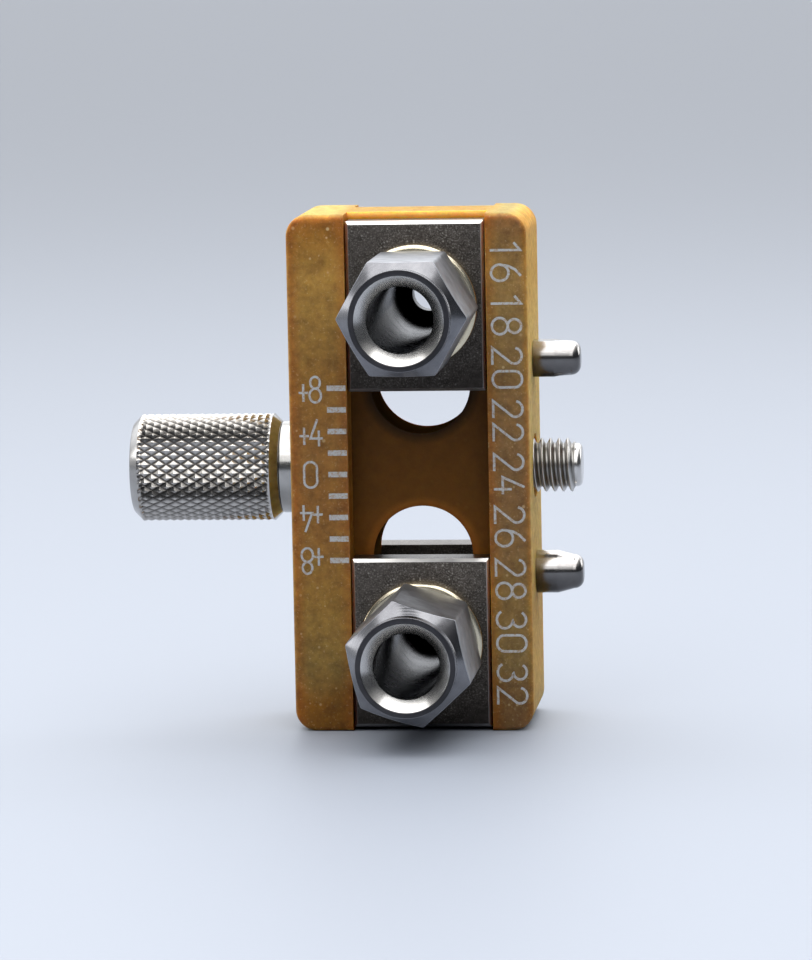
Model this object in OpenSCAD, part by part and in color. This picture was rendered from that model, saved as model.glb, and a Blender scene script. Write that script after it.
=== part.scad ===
// Aiming jig: a moulded body, two sliding carriages with hollow guide barrels,
// a captive thumb screw and two locating pins. All sizes are millimetres.
// The origin is on the mating face, where the axis of the thumb screw leaves it.
// +X points out of the mating face, +Y to the back, and +Z up, along the scale.

/* [Body] */
// Height of the body, along the scale
body_h = 48; // [47:0.5:60]
// Depth of the body, front to back
body_d = 13; // [12.8:0.1:18]
// Width of the rail that carries the scale
scale_rail_w = 5.4; // [5:0.1:9]
// Width of the rail at the mating face
mating_rail_w = 3.8; // [3.4:0.1:8]
// Depth of the channel in the front, and of the one in the back
channel_d = 3.3; // [2.4:0.1:3.5]
// Radius of the four corners, seen from the front
corner_r = 2; // [1.2:0.1:3]
// Rounding along the front and back edges
edge_r = 0.45; // [0.2:0.05:0.8]

/* [Scale] */
// Distance between the guide axes when both slides stand at the zero mark
zero_spacing = 16; // [15.8:0.1:20]
// Distance between a slide's outer end and the body's end at full travel
end_margin = 0.15; // [0.1:0.05:1]
// Distance of the upper slide from full travel at rest
upper_rest = 0.5; // [0:0.25:4]
// Distance of the lower slide from full travel at rest
lower_rest = 0.25; // [0:0.25:4]
// Distance between two marks of the scale
mark_step = 2; // [1:0.5:4]
// Length of a mark
mark_l = 1.75; // [1:0.05:2.5]
// Width of a mark
mark_w = 0.5; // [0.3:0.05:0.8]
// Depth to which a mark is cut
mark_d = 0.12; // [0.05:0.01:0.2]

/* [Slides] */
// Width of a slide, across the channel
slide_w = 12.8; // [12:0.1:15]
// Thickness of the rear slide
rear_slide_t = 3.8; // [3:0.1:5]
// Bevel round the outer face of a slide
slide_bevel = 0.3; // [0.1:0.05:0.6]
// Gap left between the slides when both stand at the zero mark
slides_gap = 0.3; // [0.1:0.05:0.6]
// Clearance of a slide to the floor and to each side of its channel
slide_clear = 0.1; // [0.05:0.01:0.2]

/* [Guide barrels] */
// Diameter of the bore that guides a sleeve
guide_bore_d = 6; // [5.6:0.1:6.4]
// Diameter of the drill hole in the barrel's rear end
drill_hole_d = 3.2; // [2.4:0.1:4.6]
// Length of the rear end that stops the sleeve, with the drill hole through it
stop_l = 3; // [2:0.1:5]
// Wall of the shank that clamps the two slides together
shank_wall = 1.5; // [1.2:0.05:1.8]
// Width of the hexagon's shoulder, from the shank to the middle of a flat
hex_shoulder = 0.65; // [0.4:0.05:1.2]
// Length of the hexagon, up to its front chamfer
hex_l = 11.5; // [6:0.1:16]
// Step from the shank's radius up to the radius of the round nose
nose_step = 0.1; // [0:0.05:0.3]
// Length of the round nose
nose_l = 1.1; // [0.5:0.1:3]
// Width of the flat rim between the nose's edge and its countersunk mouth
rim_w = 0.5; // [0.3:0.05:1]
// Turn of the upper hexagon away from corners left and right
upper_hex_turn = 0; // [0:0.5:30]
// Turn of the lower hexagon away from corners left and right
lower_hex_turn = -17.5; // [-30:0.5:0]
// Clearance of the shank in the holes of the slides
shank_clear = 0.05; // [0.02:0.01:0.1]
// Clearance of the shank to the walls of the slots
slot_clear = 0.125; // [0.05:0.005:0.2]

/* [Washers and retaining rings] */
// Thickness of the thrust washer under the hexagon
washer_t = 1; // [0.5:0.1:1.5]
// Radial width of the thrust washer
washer_w = 0.55; // [0.4:0.05:0.8]
// Thickness of the retaining ring
ring_t = 0.8; // [0.5:0.1:1.2]
// Radial width of the retaining ring
ring_w = 1.1; // [0.8:0.1:1.4]
// Depth of the groove that holds the retaining ring
groove_depth = 0.4; // [0.2:0.05:0.6]
// Play between the rear slide and the retaining ring
ring_play = 0.5; // [0.4:0.05:1]
// Length of the shank behind the retaining ring
tail_l = 0.6; // [0.4:0.1:1.5]

/* [Thumb screw] */
// Diameter of the screw
screw_d = 5; // [4.6:0.1:5.2]
// Clearance round the screw in its bore
screw_clear = 0.1; // [0.02:0.01:0.1]
// Length of the stud in front of the mating face, and free travel of the screw
stud_l = 4.4; // [3:0.1:6]
// Diameter of the relieved part of the screw
relief_d = 3.4; // [3:0.1:3.7]
// Diameter of the pin that keeps the screw in the body
keeper_d = 1.5; // [1:0.1:1.8]
// Diameter of the knob over the knurling
knob_d = 10; // [9.2:0.1:12.6]
// Length of the knob
knob_l = 14; // [10:0.1:20]
// Chamfer at both ends of the knob
knob_chamfer = 0.8; // [0.4:0.05:1.2]
// Number of knurling grooves that climb each way round the knob
knurl_starts = 36; // [24:1:40]
// Distance between knurling points along the knob
knurl_pitch = 1.37; // [1.2:0.01:2.4]
// Depth of the knurling
knurl_depth = 0.26; // [0.1:0.01:0.4]
// Depth of the hole in the knob into which the screw is pressed
knob_hole_l = 9; // [5:0.5:9]
// Diameter of the washer between the knob and the body
knob_washer_d = 8.6; // [7.5:0.1:9.2]
// Thickness of the washer between the knob and the body
knob_washer_t = 1.4; // [0.8:0.1:2.5]

/* [Locating pins] */
// Distance between the two locating pins
pin_spacing = 20; // [18:0.5:30]
// Diameter of a locating pin
pin_d = 4; // [3.2:0.1:5]
// Length of a locating pin in front of the mating face
pin_l = 4.4; // [3.5:0.1:8]
// Length over which the pin keeps its full diameter
pin_land_l = 2; // [1:0.1:2.5]
// Diameter of the pin at its tip
pin_tip_d = 3.2; // [2.4:0.1:3.2]
// Rounding at the tip of the pin
pin_tip_r = 0.9; // [0.2:0.05:1.2]
// Width across the two flats of the upper pin
pin_flats = 3.3; // [2.6:0.1:3.3]
// Diameter of the part that is pressed into the body
pin_shank_d = 3; // [2:0.1:3]

/* [Hidden] */
$fn = 96;

// Overrun of every cut past the face that it opens
overrun = 1;
// Extra length of the slot beyond the last setting
slot_end_play = 0.1;
// Distance between a mark and the channel's edge
mark_inset = 0.1;
// Depth and extra diameter of the recess round the screw in the mating face
screw_recess_depth = 0.5;
screw_recess_margin = 0.8;
// Wall left between a locating pin's hole and the slot behind it
pin_back_wall = 0.7;
// Small bevels: rear end of the barrel, washers, slide holes, screw ends, pressed pins
tail_bevel = 0.3;
washer_bevel = 0.15;
screw_bevel = 0.5;
pressed_bevel = 0.3;
// Rounded point of the stud: its length, and the radial step down to its end
point_l = 1;
point_step = 0.6;
// Corner relief at the base of the hexagon: radial step and length
hex_base_step = 0.8;
hex_base_l = 0.46;
// Point angle of the drill that makes the guide bore
drill_point = 118;
// Play at the shoulders of the relief, and between the keeper and the relief
keeper_play = 0.05;
// Wall between the keeper and the outer face of the scale rail
keeper_wall = 1.95;
// Depth of the keeper below the back face, and its reach past the screw's axis
keeper_sink = 0.3;
keeper_reach = 3.2;
// Length and extra depth of the thread's undercut behind the stud
undercut_l = 1.2;
undercut_depth = 0.45;
// Clearance of the retaining ring in its groove, its gap, and the holes in its ends
ring_clear = 0.05;
ring_gap_w = 2.2;
ring_ear_r = 1.05;
ring_hole_r = 0.45;

channel_w = slide_w + 2 * slide_clear;
body_w = scale_rail_w + channel_w + mating_rail_w;
channel_x = -(mating_rail_w + channel_w / 2);
front_y = -body_d / 2;
web_y = body_d / 2 - channel_d;

slide_h = zero_spacing - slides_gap;
slide_travel = (body_h - zero_spacing - slide_h) / 2 - end_margin;
front_slide_t = channel_d - slide_clear;
shank_d = guide_bore_d + 2 * shank_wall;
slide_hole_d = shank_d + 2 * shank_clear;
upper_z = zero_spacing / 2 + slide_travel - upper_rest;
lower_z = -zero_spacing / 2 - slide_travel + lower_rest;

slot_w = shank_d + 2 * slot_clear;
slot_in_z = zero_spacing / 2;
slot_out_z = slot_in_z + slide_travel + slot_end_play;

hex_flats = shank_d + 2 * hex_shoulder;
hex_corners = hex_flats / cos(180 / 6);
nose_d = shank_d + 2 * nose_step;
mouth_d = nose_d - 2 * rim_w;
washer_in_r = shank_d / 2 + 2 * shank_clear;
hex_cone_l = (hex_corners - nose_d) / 2;
barrel_tip = washer_t + hex_l + hex_cone_l + nose_l;
mouth_l = (mouth_d - guide_bore_d) / 2;
stop_cone_l = (guide_bore_d - drill_hole_d) / 2 / tan(drill_point / 2);
rear_slide_back = body_d / 2 + web_y + slide_clear + rear_slide_t;
ring_front = rear_slide_back + ring_play;
barrel_tail = ring_front + ring_t + tail_l;
groove_d = shank_d - 2 * groove_depth;

screw_bore_d = screw_d + 2 * screw_clear;
keeper_x = -body_w + keeper_wall + keeper_d / 2;
keeper_z = relief_d / 2 + keeper_d / 2 + keeper_play;
relief_left = keeper_x - keeper_d / 2 - keeper_play;
relief_right = keeper_x + keeper_d / 2 + stud_l + keeper_play;
knob_x = -body_w - knob_washer_t;

pin_shank_l = mating_rail_w + (channel_w - slot_w) / 2 - pin_back_wall;

// Outline of a rectangle with four rounded corners, about its centre
module rounded_rectangle(w, h, r) {
    square([w - 2 * r, h], center = true);
    square([w, h - 2 * r], center = true);
    for (sx = [-1, 1], sy = [-1, 1])
        translate([sx * (w / 2 - r), sy * (h / 2 - r)]) circle(r = r);
}

// A quarter of a round post with softened ends, which makes one corner of a block
module corner_post(d, r, e) {
    rotate_extrude(angle = 90) intersection() {
        rounded_rectangle(2 * r, d, e);
        translate([0, -d / 2]) square([r, d]);
    }
}

// Block of width w, depth d and height h: corners of radius r, front and back edges of radius e
module soft_block(w, d, h, r, e) {
    linear_extrude(h - 2 * r, center = true) rounded_rectangle(w, d, e);
    rotate([0, 90, 0]) linear_extrude(w - 2 * r, center = true) rounded_rectangle(h, d, e);
    for (sx = [-1, 1], sz = [-1, 1])
        translate([sx * (w / 2 - r), 0, sz * (h / 2 - r)])
            rotate([0, sx > 0 ? (sz > 0 ? 0 : 90) : (sz > 0 ? -90 : 180), 0])
                rotate([90, 0, 0]) corner_post(d, r, e);
}

// Outline of one slot, with its inner end at z1 and its outer end at z2
module slot_outline(z1, z2) {
    for (z = [z1, z2]) translate([0, z]) circle(d = slot_w);
    translate([-slot_w / 2, min(z1, z2)]) square([slot_w, abs(z2 - z1)]);
}

// Cuts that the body shares with the slides: both channels and both slots
module channel_cuts() {
    for (side = [-1, 1]) {
        translate([channel_x, side * (web_y + (channel_d + overrun) / 2), 0])
            cube([channel_w, channel_d + overrun, body_h + 2 * overrun], center = true);
        translate([channel_x, 0, 0]) rotate([90, 0, 0])
            linear_extrude(2 * web_y + 2 * slide_clear, center = true)
                slot_outline(side * slot_in_z, side * slot_out_z);
    }
}

// Bore of the thumb screw with its recess, holes of the locating pins and of the keeper
module fastener_cuts() {
    rotate([0, -90, 0]) rotate(180) {
        translate([0, 0, -overrun]) cylinder(d = screw_bore_d, h = body_w + 2 * overrun);
        translate([0, 0, -overrun])
            cylinder(d = screw_bore_d + screw_recess_margin, h = screw_recess_depth + overrun);
    }
    for (side = [-1, 1]) translate([0, 0, side * pin_spacing / 2]) rotate([0, -90, 0])
        translate([0, 0, -overrun]) cylinder(d = pin_shank_d, h = pin_shank_l + overrun);
    translate([keeper_x, -keeper_reach, keeper_z]) rotate([-90, 0, 0])
        cylinder(d = keeper_d, h = keeper_reach + body_d / 2 + overrun);
}

// Marks of the scale, one for each step of travel above and below zero
module scale_marks() {
    steps = floor(slide_travel / mark_step);
    mark_x = channel_x - channel_w / 2 - mark_inset - mark_l;
    for (i = [-steps : steps])
        translate([mark_x, front_y - overrun, i * mark_step - mark_w / 2])
            cube([mark_l, mark_d + overrun, mark_w]);
}

module jig_body() {
    color("peru") difference() {
        translate([-body_w / 2, 0, 0]) soft_block(body_w, body_d, body_h, corner_r, edge_r);
        channel_cuts();
        fastener_cuts();
        scale_marks();
    }
}

// Plate of thickness t on the plane z = 0, bevelled round its upper face, with the shank's hole
module slide_plate(t) {
    difference() {
        intersection() {
            rotate([90, 0, 0]) linear_extrude(slide_h, center = true) bevelled_profile(slide_w, t);
            rotate([90, 0, 90]) linear_extrude(slide_w, center = true) bevelled_profile(slide_h, t);
        }
        translate([0, 0, -overrun]) cylinder(d = slide_hole_d, h = t + 2 * overrun);
    }
}

module bevelled_profile(w, t) {
    polygon([
        [-w / 2, 0], [w / 2, 0], [w / 2, t - slide_bevel], [w / 2 - slide_bevel, t],
        [-w / 2 + slide_bevel, t], [-w / 2, t - slide_bevel]
    ]);
}

// Places a piece that is drawn along +Z: z = 0 is the front face of the body, +Z leaves it
module at_guide(z) {
    translate([channel_x, front_y, z]) rotate([90, 0, 0]) children();
}

module front_slide(z) {
    color("dimgray") translate([channel_x, -web_y - slide_clear, z]) rotate([90, 0, 0])
        slide_plate(front_slide_t);
}

module rear_slide(z) {
    color("dimgray") translate([channel_x, web_y + slide_clear, z]) rotate([-90, 0, 0])
        slide_plate(rear_slide_t);
}

// Flat ring on the plane z = 0, with its outer edges broken
module flat_washer(outer_r, inner_r, t) {
    rotate_extrude() polygon([
        [inner_r, 0], [outer_r - washer_bevel, 0], [outer_r, washer_bevel],
        [outer_r, t - washer_bevel], [outer_r - washer_bevel, t], [inner_r, t]
    ]);
}

module thrust_washer(z) {
    color("silver") at_guide(z) flat_washer(washer_in_r + washer_w, washer_in_r, washer_t);
}

// The hexagon, with its corners turned away at the base and a 45 degree cone at the front
module hexagon_grip() {
    corner = hex_corners / 2;
    top = washer_t + hex_l;
    intersection() {
        translate([0, 0, washer_t]) cylinder(d = hex_corners, h = hex_l + hex_cone_l, $fn = 6);
        rotate_extrude() polygon([
            [0, washer_t], [corner - hex_base_step, washer_t], [corner, washer_t + hex_base_l],
            [corner, top], [nose_d / 2, top + hex_cone_l], [0, top + hex_cone_l]
        ]);
    }
}

// Round core of the barrel: nose, shank, groove for the retaining ring, bevelled tail
module barrel_core() {
    tail = -barrel_tail;
    groove_top = -ring_front;
    groove_low = groove_top - ring_t;
    rotate_extrude() polygon([
        [0, tail], [shank_d / 2 - tail_bevel, tail], [shank_d / 2, tail + tail_bevel],
        [shank_d / 2, groove_low], [groove_d / 2, groove_low],
        [groove_d / 2, groove_top], [shank_d / 2, groove_top],
        [shank_d / 2, washer_t], [nose_d / 2, washer_t],
        [nose_d / 2, barrel_tip - washer_bevel], [nose_d / 2 - washer_bevel, barrel_tip], [0, barrel_tip]
    ]);
}

// Hollow of the barrel: countersunk mouth, guide bore, drill point and drill hole
module barrel_bore() {
    tail = -barrel_tail;
    bore_end = tail + stop_l;
    drill_r = drill_hole_d / 2;
    rotate_extrude() polygon([
        [0, tail - overrun], [drill_r + tail_bevel, tail - overrun],
        [drill_r + tail_bevel, tail], [drill_r, tail + tail_bevel],
        [drill_r, bore_end - stop_cone_l], [guide_bore_d / 2, bore_end],
        [guide_bore_d / 2, barrel_tip - mouth_l], [mouth_d / 2, barrel_tip],
        [mouth_d / 2, barrel_tip + overrun], [0, barrel_tip + overrun]
    ]);
}

module guide_barrel(z, turn) {
    color("lightsteelblue") at_guide(z) rotate(turn) difference() {
        union() {
            hexagon_grip();
            barrel_core();
        }
        barrel_bore();
    }
}

// Outline of an open ring whose two ends carry a hole each, for the pliers that spread it
module ring_outline(inner_r, outer_r) {
    ear_angle = asin((ring_gap_w / 2 + ring_ear_r) / outer_r);
    difference() {
        union() {
            circle(r = outer_r);
            for (side = [-1, 1])
                rotate(-90 + side * ear_angle) translate([outer_r, 0]) circle(r = ring_ear_r);
        }
        circle(r = inner_r);
        translate([-ring_gap_w / 2, -outer_r - 2 * ring_ear_r]) square([ring_gap_w, outer_r + ring_ear_r]);
        for (side = [-1, 1])
            rotate(-90 + side * ear_angle) translate([outer_r, 0]) circle(r = ring_hole_r);
    }
}

module retaining_ring(z) {
    inner_r = groove_d / 2 + ring_clear;
    color("slategray") at_guide(z) translate([0, 0, -ring_front - ring_t])
        linear_extrude(ring_t) ring_outline(inner_r, inner_r + ring_w);
}

// Grip of radius r along +Z whose surface is a field of pyramids.
// Rows of points lie half a pitch apart and every second point of a row is a peak.
// Each cell folds along the line between its two low points, which makes the crossing grooves.
module knurled_grip(r, l, chamfer) {
    columns = 2 * knurl_starts;
    rows = 2 * round((l - 2 * chamfer) / knurl_pitch);
    end_ring = [for (i = [0 : columns - 1]) i * 360 / columns];
    points = concat(
        [for (a = end_ring) [(r - chamfer) * cos(a), (r - chamfer) * sin(a), 0]],
        [for (j = [0 : rows], i = [0 : columns - 1])
            let (rr = r - ((i + j) % 2) * knurl_depth, a = end_ring[i])
            [rr * cos(a), rr * sin(a), chamfer + j * (l - 2 * chamfer) / rows]],
        [for (a = end_ring) [(r - chamfer) * cos(a), (r - chamfer) * sin(a), l]]
    );
    cells = [for (j = [0 : rows + 1], i = [0 : columns - 1])
        let (a = j * columns + i, b = j * columns + (i + 1) % columns, c = b + columns, d = a + columns)
        each (i + j) % 2 == 1 ? [[a, d, b], [b, d, c]] : [[a, c, b], [a, d, c]]];
    low_cap = [[for (i = [0 : columns - 1]) i]];
    high_cap = [[for (i = [0 : columns - 1]) len(points) - 1 - i]];
    polyhedron(points = points, faces = concat(cells, low_cap, high_cap));
}

module thumb_knob() {
    color("gainsboro") translate([knob_x, 0, 0]) rotate([0, -90, 0]) difference() {
        knurled_grip(knob_d / 2, knob_l, knob_chamfer);
        translate([0, 0, -overrun]) cylinder(d = screw_d, h = knob_hole_l + overrun);
    }
}

// One turned piece along X: pressed end, relief for the keeper, land, undercut and stud
module thumb_screw() {
    full = screw_d / 2;
    thin = full - undercut_depth;
    color("silver") rotate([90, 0, 90]) rotate_extrude() polygon([
        [0, knob_x - knob_hole_l], [full - screw_bevel, knob_x - knob_hole_l],
        [full, knob_x - knob_hole_l + screw_bevel],
        [full, relief_left], [relief_d / 2, relief_left],
        [relief_d / 2, relief_right], [full, relief_right],
        [full, -undercut_l], [thin, -undercut_l], [thin, 0], [full, 0],
        [full, stud_l - point_l], [full - point_step / 3, stud_l - point_l / 3],
        [full - point_step, stud_l], [0, stud_l]
    ]);
}

module knob_washer() {
    color("silver") translate([-body_w, 0, 0]) rotate([0, -90, 0])
        flat_washer(knob_washer_d / 2, screw_bore_d / 2, knob_washer_t);
}

module screw_retaining_pin() {
    bottom = -keeper_reach;
    top = body_d / 2 - keeper_sink;
    r = keeper_d / 2;
    color("gray") translate([keeper_x, 0, keeper_z]) rotate([-90, 0, 0]) rotate_extrude() polygon([
        [0, bottom], [r - pressed_bevel, bottom], [r, bottom + pressed_bevel],
        [r, top - pressed_bevel], [r - pressed_bevel, top], [0, top]
    ]);
}

// Stepped pin along +Z: pressed shank, full land, tapered lead and rounded tip
module locating_pin_shape() {
    tip_x = pin_tip_d / 2 - pin_tip_r;
    rotate_extrude() intersection() {
        union() {
            polygon([
                [0, -pin_shank_l], [pin_shank_d / 2 - pressed_bevel, -pin_shank_l],
                [pin_shank_d / 2, -pin_shank_l + pressed_bevel], [pin_shank_d / 2, 0],
                [pin_d / 2, 0], [pin_d / 2, pin_land_l],
                [pin_tip_d / 2, pin_l - pin_tip_r], [tip_x, pin_l - pin_tip_r], [tip_x, pin_l], [0, pin_l]
            ]);
            translate([tip_x, pin_l - pin_tip_r]) circle(r = pin_tip_r);
        }
        translate([0, -pin_shank_l]) square([pin_d, pin_shank_l + pin_l]);
    }
}

module upper_locating_pin() {
    color("silver") translate([0, 0, pin_spacing / 2]) rotate([90, 0, 90]) difference() {
        locating_pin_shape();
        for (side = [-1, 1]) translate([0, side * (pin_flats / 2 + pin_d / 2), pin_l / 2 + overrun / 2])
            cube([2 * pin_d, pin_d, pin_l + overrun], center = true);
    }
}

module lower_locating_pin() {
    color("silver") translate([0, 0, -pin_spacing / 2]) rotate([90, 0, 90]) locating_pin_shape();
}

jig_body();
front_slide(upper_z);  // upper_front_slide
rear_slide(upper_z);  // upper_rear_slide
thrust_washer(upper_z);  // upper_thrust_washer
guide_barrel(upper_z, upper_hex_turn);  // upper_guide_barrel
retaining_ring(upper_z);  // upper_retaining_ring
front_slide(lower_z);  // lower_front_slide
rear_slide(lower_z);  // lower_rear_slide
thrust_washer(lower_z);  // lower_thrust_washer
guide_barrel(lower_z, lower_hex_turn);  // lower_guide_barrel
retaining_ring(lower_z);  // lower_retaining_ring
thumb_knob();
thumb_screw();
knob_washer();
screw_retaining_pin();
upper_locating_pin();
lower_locating_pin();
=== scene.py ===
"""Dresses the pieces of an aiming jig: a slotted amber body with a scale, two clamped slides
with hollow hexagonal guide barrels, a knurled thumb screw and two locating pins.

Lengths are metres in the packed frame. The origin is on the mating face, where the axis of the
thumb screw leaves it; +X points out of that face, +Y to the back and +Z up, along the scale.
"""

import math

import bmesh
import bpy
from mathutils import Matrix, Vector


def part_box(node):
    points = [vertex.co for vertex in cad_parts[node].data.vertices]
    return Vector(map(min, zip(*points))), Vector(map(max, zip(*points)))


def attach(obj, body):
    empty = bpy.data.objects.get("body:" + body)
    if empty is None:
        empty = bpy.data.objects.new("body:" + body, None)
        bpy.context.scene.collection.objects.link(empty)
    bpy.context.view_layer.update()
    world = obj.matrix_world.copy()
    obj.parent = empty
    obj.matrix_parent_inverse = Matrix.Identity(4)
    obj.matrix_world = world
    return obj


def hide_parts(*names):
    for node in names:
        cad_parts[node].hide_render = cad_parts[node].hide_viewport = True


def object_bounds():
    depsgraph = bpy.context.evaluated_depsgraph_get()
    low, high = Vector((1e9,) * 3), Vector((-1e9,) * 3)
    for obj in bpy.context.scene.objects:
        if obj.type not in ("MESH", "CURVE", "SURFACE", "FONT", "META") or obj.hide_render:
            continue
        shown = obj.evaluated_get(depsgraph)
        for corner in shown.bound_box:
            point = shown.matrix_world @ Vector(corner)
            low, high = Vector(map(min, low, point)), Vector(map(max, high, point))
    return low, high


bl_info = {
    "name": "Aiming Jig",
    "version": (1, 0, 0),
    "blender": (4, 5, 0),
    "location": "View3D > Sidebar > Aiming Jig",
    "description": "Makes the visible pieces of an aiming jig and the studio they stand in",
    "category": "Object",
}

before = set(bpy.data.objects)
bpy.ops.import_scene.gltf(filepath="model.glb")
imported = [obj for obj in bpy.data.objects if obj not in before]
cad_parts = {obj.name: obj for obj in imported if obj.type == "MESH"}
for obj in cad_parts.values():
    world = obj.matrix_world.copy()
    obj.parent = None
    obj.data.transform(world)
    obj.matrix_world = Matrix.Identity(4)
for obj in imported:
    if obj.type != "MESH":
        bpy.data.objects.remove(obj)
CAD_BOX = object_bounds()
MM = 0.001
SIDES = ("upper", "lower")
# About the middle of the body, where the floor is centred and the lamps aim
MIDDLE = Vector((-0.011, 0, 0))
# The body's two slots, in mm: half their width, and the heights of their arcs' centres
SLOT_HALF, SLOT_IN, SLOT_OUT = 4.625, 8, 16.1


# ---- places from the frame


def span(node, axis):
    """Lowest and highest coordinate of a CAD node along one axis."""
    low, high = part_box(node)
    return low[axis], high[axis]


def centre_of(node):
    """Middle of a CAD node's box."""
    low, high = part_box(node)
    return (low + high) / 2


def axes(x, y, z, origin):
    """Matrix that puts a piece's own X, Y and Z along these directions, at this origin."""
    matrix = Matrix((x, y, z)).transposed().to_4x4()
    matrix.translation = origin
    return matrix


def guide_place(side):
    """A guide's own axes: Z leaves the front face of the body along the barrel, and Y is up."""
    centre = centre_of(side + "_front_slide")
    origin = (centre.x, span("jig_body", 1)[0], centre.z)
    return axes((1, 0, 0), (0, 0, 1), (0, -1, 0), origin)


def screw_place(x):
    """The thumb screw's own axes at x: Z points away from the mating face, to the knob."""
    return axes((0, 0, 1), (0, 1, 0), (-1, 0, 0), (x, 0, 0))


def face_place(z):
    """Axes on the mating face at height z: Z points out of the face, and Y is up."""
    return axes((0, 1, 0), (0, 0, 1), (1, 0, 0), (0, 0, z))


# ---- mesh helpers


def new_object(name, data, place=None):
    """Adds an object that holds a mesh, a lamp or a lens, at a place if one is given."""
    made = bpy.data.objects.new(name, data)
    bpy.context.scene.collection.objects.link(made)
    if place is not None:
        made.matrix_world = place
    return made


def piece(name, body, finishes, mesh, place=None, stands_for=(), sharp=35):
    """Makes an object of a mesh, with smooth faces and sharp edges, and lets it ride on a body."""
    for finish in finishes:
        mesh.materials.append(MATERIALS[finish])
    mesh.shade_smooth()
    mesh.set_sharp_from_angle(angle=math.radians(sharp))
    made = new_object(name, mesh, place)
    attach(made, body)
    if stands_for:
        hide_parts(*stands_for)
    return made


def finished(bm, name, weld=1e-7):
    """Turns a bmesh into a mesh, with doubled points joined and all faces turned outwards."""
    bmesh.ops.remove_doubles(bm, verts=bm.verts, dist=weld)
    bmesh.ops.dissolve_degenerate(bm, edges=bm.edges, dist=weld)
    bmesh.ops.recalc_face_normals(bm, faces=bm.faces)
    mesh = bpy.data.meshes.new(name)
    bm.to_mesh(mesh)
    bm.free()
    return mesh


def arc(cx, cy, rx, ry, start, end, steps=14):
    """Points of an elliptical arc between two angles in degrees."""
    turns = [math.radians(start + (end - start) * k / steps) for k in range(steps + 1)]
    return [(cx + rx * math.cos(a), cy + ry * math.sin(a)) for a in turns]


def eased(profile, radius, steps=3, closed=False):
    """Rounds each corner of a profile of (radius, height, finish) points by up to this radius."""
    out = []
    count = len(profile)
    for i, point in enumerate(profile):
        if not closed and i in (0, count - 1):
            out.append(point)
            continue
        here = Vector(point[:2])
        before = Vector(profile[i - 1][:2]) - here
        after = Vector(profile[(i + 1) % count][:2]) - here
        # a rounding takes at most 45 % of an edge, and a corner of under 5 degrees stays
        reach = min(radius, 0.45 * before.length, 0.45 * after.length)
        if before.angle(after, 0) > math.radians(175) or reach <= 0:
            out.append(point)
            continue
        start = here + before.normalized() * reach
        end = here + after.normalized() * reach
        for k in range(steps + 1):
            t = k / steps
            spot = start * (1 - t) ** 2 + here * 2 * t * (1 - t) + end * t**2
            out.append((spot.x, spot.y, profile[i - 1][2] if k < steps else point[2]))
    return out


def column(bm, angle, spots):
    """Adds points (radius, height) at one angle round local Z."""
    x, y = math.cos(angle), math.sin(angle)
    return [bm.verts.new((r * x, r * y, z)) for r, z in spots]


def swept(name, columns, closed):
    """Mesh round local Z. Each column is (angle, profile), and all profiles have equally many
    points (radius, height, finish); a point's finish is that of the face that follows it."""
    bm = bmesh.new()
    rings = [column(bm, angle, [p[:2] for p in profile]) for angle, profile in columns]
    count = len(columns[0][1])
    for i, ring in enumerate(rings):
        following = rings[(i + 1) % len(rings)]
        for j in range(count if closed else count - 1):
            k = (j + 1) % count
            face = bm.faces.new((ring[j], following[j], following[k], ring[k]))
            face.material_index = columns[i][1][j][2]
    return finished(bm, name)


def turned(name, profile, closed=False, segments=128):
    """Mesh of a turned piece: one profile swept round local Z."""
    return swept(name, [(math.tau * i / segments, profile) for i in range(segments)], closed)


def rounded_outline(width, height, radius, steps):
    """Points round a rectangle about its centre, with rounded corners, counter-clockwise."""
    points = []
    for corner, (sx, sy) in enumerate(((1, 1), (-1, 1), (-1, -1), (1, -1))):
        centre = (sx * (width / 2 - radius), sy * (height / 2 - radius))
        points += arc(*centre, radius, radius, 90 * corner, 90 * corner + 90, steps)
    return points


def lofted(bm, rows, closed=False, caps=()):
    """Skins rows of equally many points with quads and closes the rows in caps with a face. Each
    row is a closed ring."""
    rings = [[bm.verts.new(p) for p in row] for row in rows]
    pairs = list(zip(rings, rings[1:] + rings[:1]))
    for low, high in pairs if closed else pairs[:-1]:
        for i in range(len(low)):
            k = (i + 1) % len(low)
            bm.faces.new((low[i], low[k], high[k], high[i]))
    for cap in caps:
        bm.faces.new(rings[cap])


def carved(target, cutters):
    """Cuts objects out of a target and removes them; the result is kept as plain mesh."""
    for cutter in cutters:
        cut = target.modifiers.new(cutter.name, "BOOLEAN")
        cut.object = cutter
        cut.operation = "DIFFERENCE"
        cut.solver = "EXACT"
    bpy.context.view_layer.update()
    graph = bpy.context.evaluated_depsgraph_get()
    mesh = bpy.data.meshes.new_from_object(target.evaluated_get(graph))
    for thing in (target, *cutters):
        bpy.data.objects.remove(thing)
    return mesh


def box_mesh(bm, low, high):
    """Adds a block between two corners to a bmesh."""
    low, high = Vector(low), Vector(high)
    grown = Matrix.Translation((high + low) / 2) @ Matrix.Diagonal((*(high - low), 1))
    bmesh.ops.create_cube(bm, size=1, matrix=grown)


def eased_edges(made, width, angle=40, segments=2):
    """Breaks a piece's sharp edges with a narrow bevel, as deburring does."""
    bevel = made.modifiers.new("deburring", "BEVEL")
    bevel.width = width
    bevel.segments = segments
    bevel.limit_method = "ANGLE"
    bevel.angle_limit = math.radians(angle)
    bevel.harden_normals = True


# ---- shader nodes


def linear(hex_colour):
    """Linear RGB of an sRGB hex colour such as #8A5A1F."""
    values = [int(hex_colour[i : i + 2], 16) / 255 for i in (1, 3, 5)]
    return tuple(v / 12.92 if v <= 0.04045 else ((v + 0.055) / 1.055) ** 2.4 for v in values)


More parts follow.
